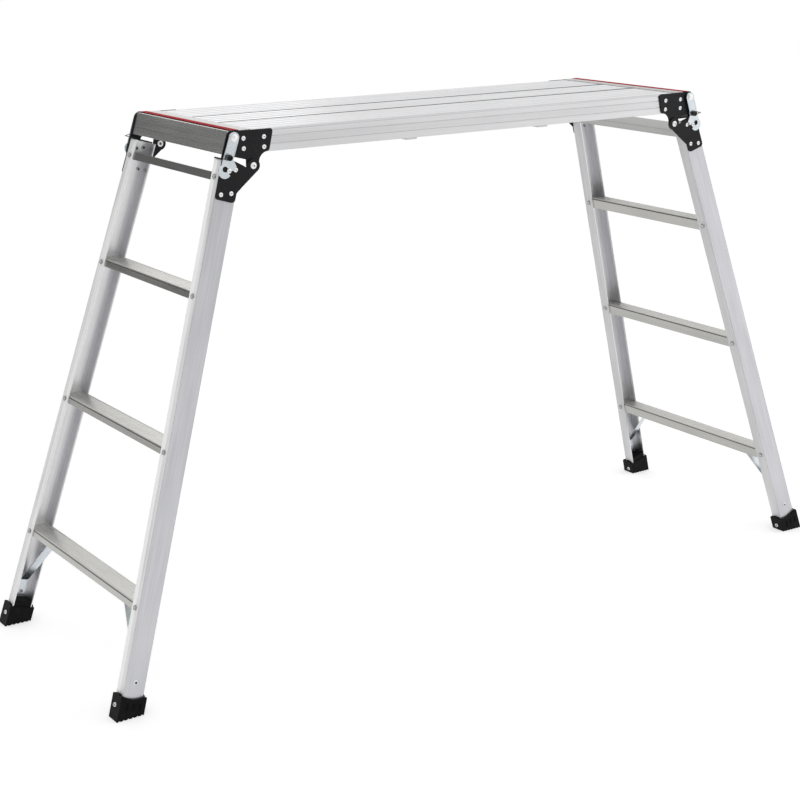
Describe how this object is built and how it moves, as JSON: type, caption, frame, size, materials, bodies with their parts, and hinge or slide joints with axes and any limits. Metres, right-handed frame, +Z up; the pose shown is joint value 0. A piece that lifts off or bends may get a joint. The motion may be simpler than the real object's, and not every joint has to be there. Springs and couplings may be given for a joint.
{
  "type": "folding work platform",
  "caption": "Folding aluminium work platform: a ribbed plank deck on splayed ladder legs that hinge under it, with hooked lock levers and rubber feet.",
  "frame": {"origin": "on the ground under the middle of the deck, with the platform standing open", "axes": "+X along the deck, +Y across it away from the near side of the picture, +Z up"},
  "size_m": [1.9162, 0.61, 1.12],
  "materials": {
    "aluminium": "satin extruded aluminium with fine lengthwise ribs",
    "black_plate": "satin black paint",
    "zinc_steel": "bright zinc plate",
    "rivet_steel": "bright set rivet",
    "spring_wire": "black oiled spring wire",
    "red_edge": "red ridged edge strip",
    "rubber_foot": "matt black rubber"
  },
  "bodies": {
    "deck": {"deck_plank_near": "aluminium", "deck_plank_centre": "aluminium", "deck_plank_far": "aluminium", "end_beam_left": "aluminium", "edge_strip_left": "red_edge", "cross_bar_left": "aluminium", "end_beam_right": "aluminium", "edge_strip_right": "red_edge", "cross_bar_right": "aluminium", "deck_bracket_left_near": "black_plate", "deck_rivets_left_near": "rivet_steel", "pivot_pin_left_near": "rivet_steel", "deck_bracket_left_far": "black_plate", "deck_rivets_left_far": "rivet_steel", "pivot_pin_left_far": "rivet_steel", "deck_bracket_right_near": "black_plate", "deck_rivets_right_near": "rivet_steel", "pivot_pin_right_near": "rivet_steel", "deck_bracket_right_far": "black_plate", "deck_rivets_right_far": "rivet_steel", "pivot_pin_right_far": "rivet_steel"},
    "left_leg": {"top_bar_left": "aluminium", "rung_1_left": "aluminium", "rung_2_left": "aluminium", "rung_3_left": "aluminium", "stile_left_near": "aluminium", "leg_bracket_left_near": "black_plate", "leg_rivets_left_near": "rivet_steel", "brace_left_near": "zinc_steel", "foot_left_near": "rubber_foot", "stile_left_far": "aluminium", "leg_bracket_left_far": "black_plate", "leg_rivets_left_far": "rivet_steel", "brace_left_far": "zinc_steel", "foot_left_far": "rubber_foot"},
    "left_near_lever": {"lock_lever_left_near": "zinc_steel", "lever_spring_left_near": "spring_wire"},
    "left_far_lever": {"lock_lever_left_far": "zinc_steel", "lever_spring_left_far": "spring_wire"},
    "right_leg": {"top_bar_right": "aluminium", "rung_1_right": "aluminium", "rung_2_right": "aluminium", "rung_3_right": "aluminium", "stile_right_near": "aluminium", "leg_bracket_right_near": "black_plate", "leg_rivets_right_near": "rivet_steel", "brace_right_near": "zinc_steel", "foot_right_near": "rubber_foot", "stile_right_far": "aluminium", "leg_bracket_right_far": "black_plate", "leg_rivets_right_far": "rivet_steel", "brace_right_far": "zinc_steel", "foot_right_far": "rubber_foot"},
    "right_near_lever": {"lock_lever_right_near": "zinc_steel", "lever_spring_right_near": "spring_wire"},
    "right_far_lever": {"lock_lever_right_far": "zinc_steel", "lever_spring_right_far": "spring_wire"}
  },
  "joints": [
    {"name": "left_leg_fold", "type": "hinge", "parent": "deck", "child": "left_leg", "pos_m": [-0.559, 0, 1.048], "axis": [0, -1, 0], "range_deg": [0, 109.6]},
    {"name": "left_near_lever_swing", "type": "hinge", "parent": "deck", "child": "left_near_lever", "pos_m": [-0.6023, -0.21, 1.1063], "axis": [0, 1, 0], "range_deg": [0, 65.76]},
    {"name": "left_far_lever_swing", "type": "hinge", "parent": "deck", "child": "left_far_lever", "pos_m": [-0.6023, 0.21, 1.1063], "axis": [0, 1, 0], "range_deg": [0, 65.76]},
    {"name": "right_leg_fold", "type": "hinge", "parent": "deck", "child": "right_leg", "pos_m": [0.559, 0, 1.048], "axis": [0, 1, 0], "range_deg": [0, 104.4]},
    {"name": "right_near_lever_swing", "type": "hinge", "parent": "deck", "child": "right_near_lever", "pos_m": [0.6023, -0.21, 1.1063], "axis": [0, -1, 0], "range_deg": [0, 62.64]},
    {"name": "right_far_lever_swing", "type": "hinge", "parent": "deck", "child": "right_far_lever", "pos_m": [0.6023, 0.21, 1.1063], "axis": [0, -1, 0], "range_deg": [0, 62.64]}
  ],
  "couplings": [
    {"joint": "left_near_lever_swing", "follows": "left_leg_fold", "ratio": 0.6},
    {"joint": "left_far_lever_swing", "follows": "left_leg_fold", "ratio": 0.6},
    {"joint": "right_near_lever_swing", "follows": "right_leg_fold", "ratio": 0.6},
    {"joint": "right_far_lever_swing", "follows": "right_leg_fold", "ratio": 0.6}
  ]
}
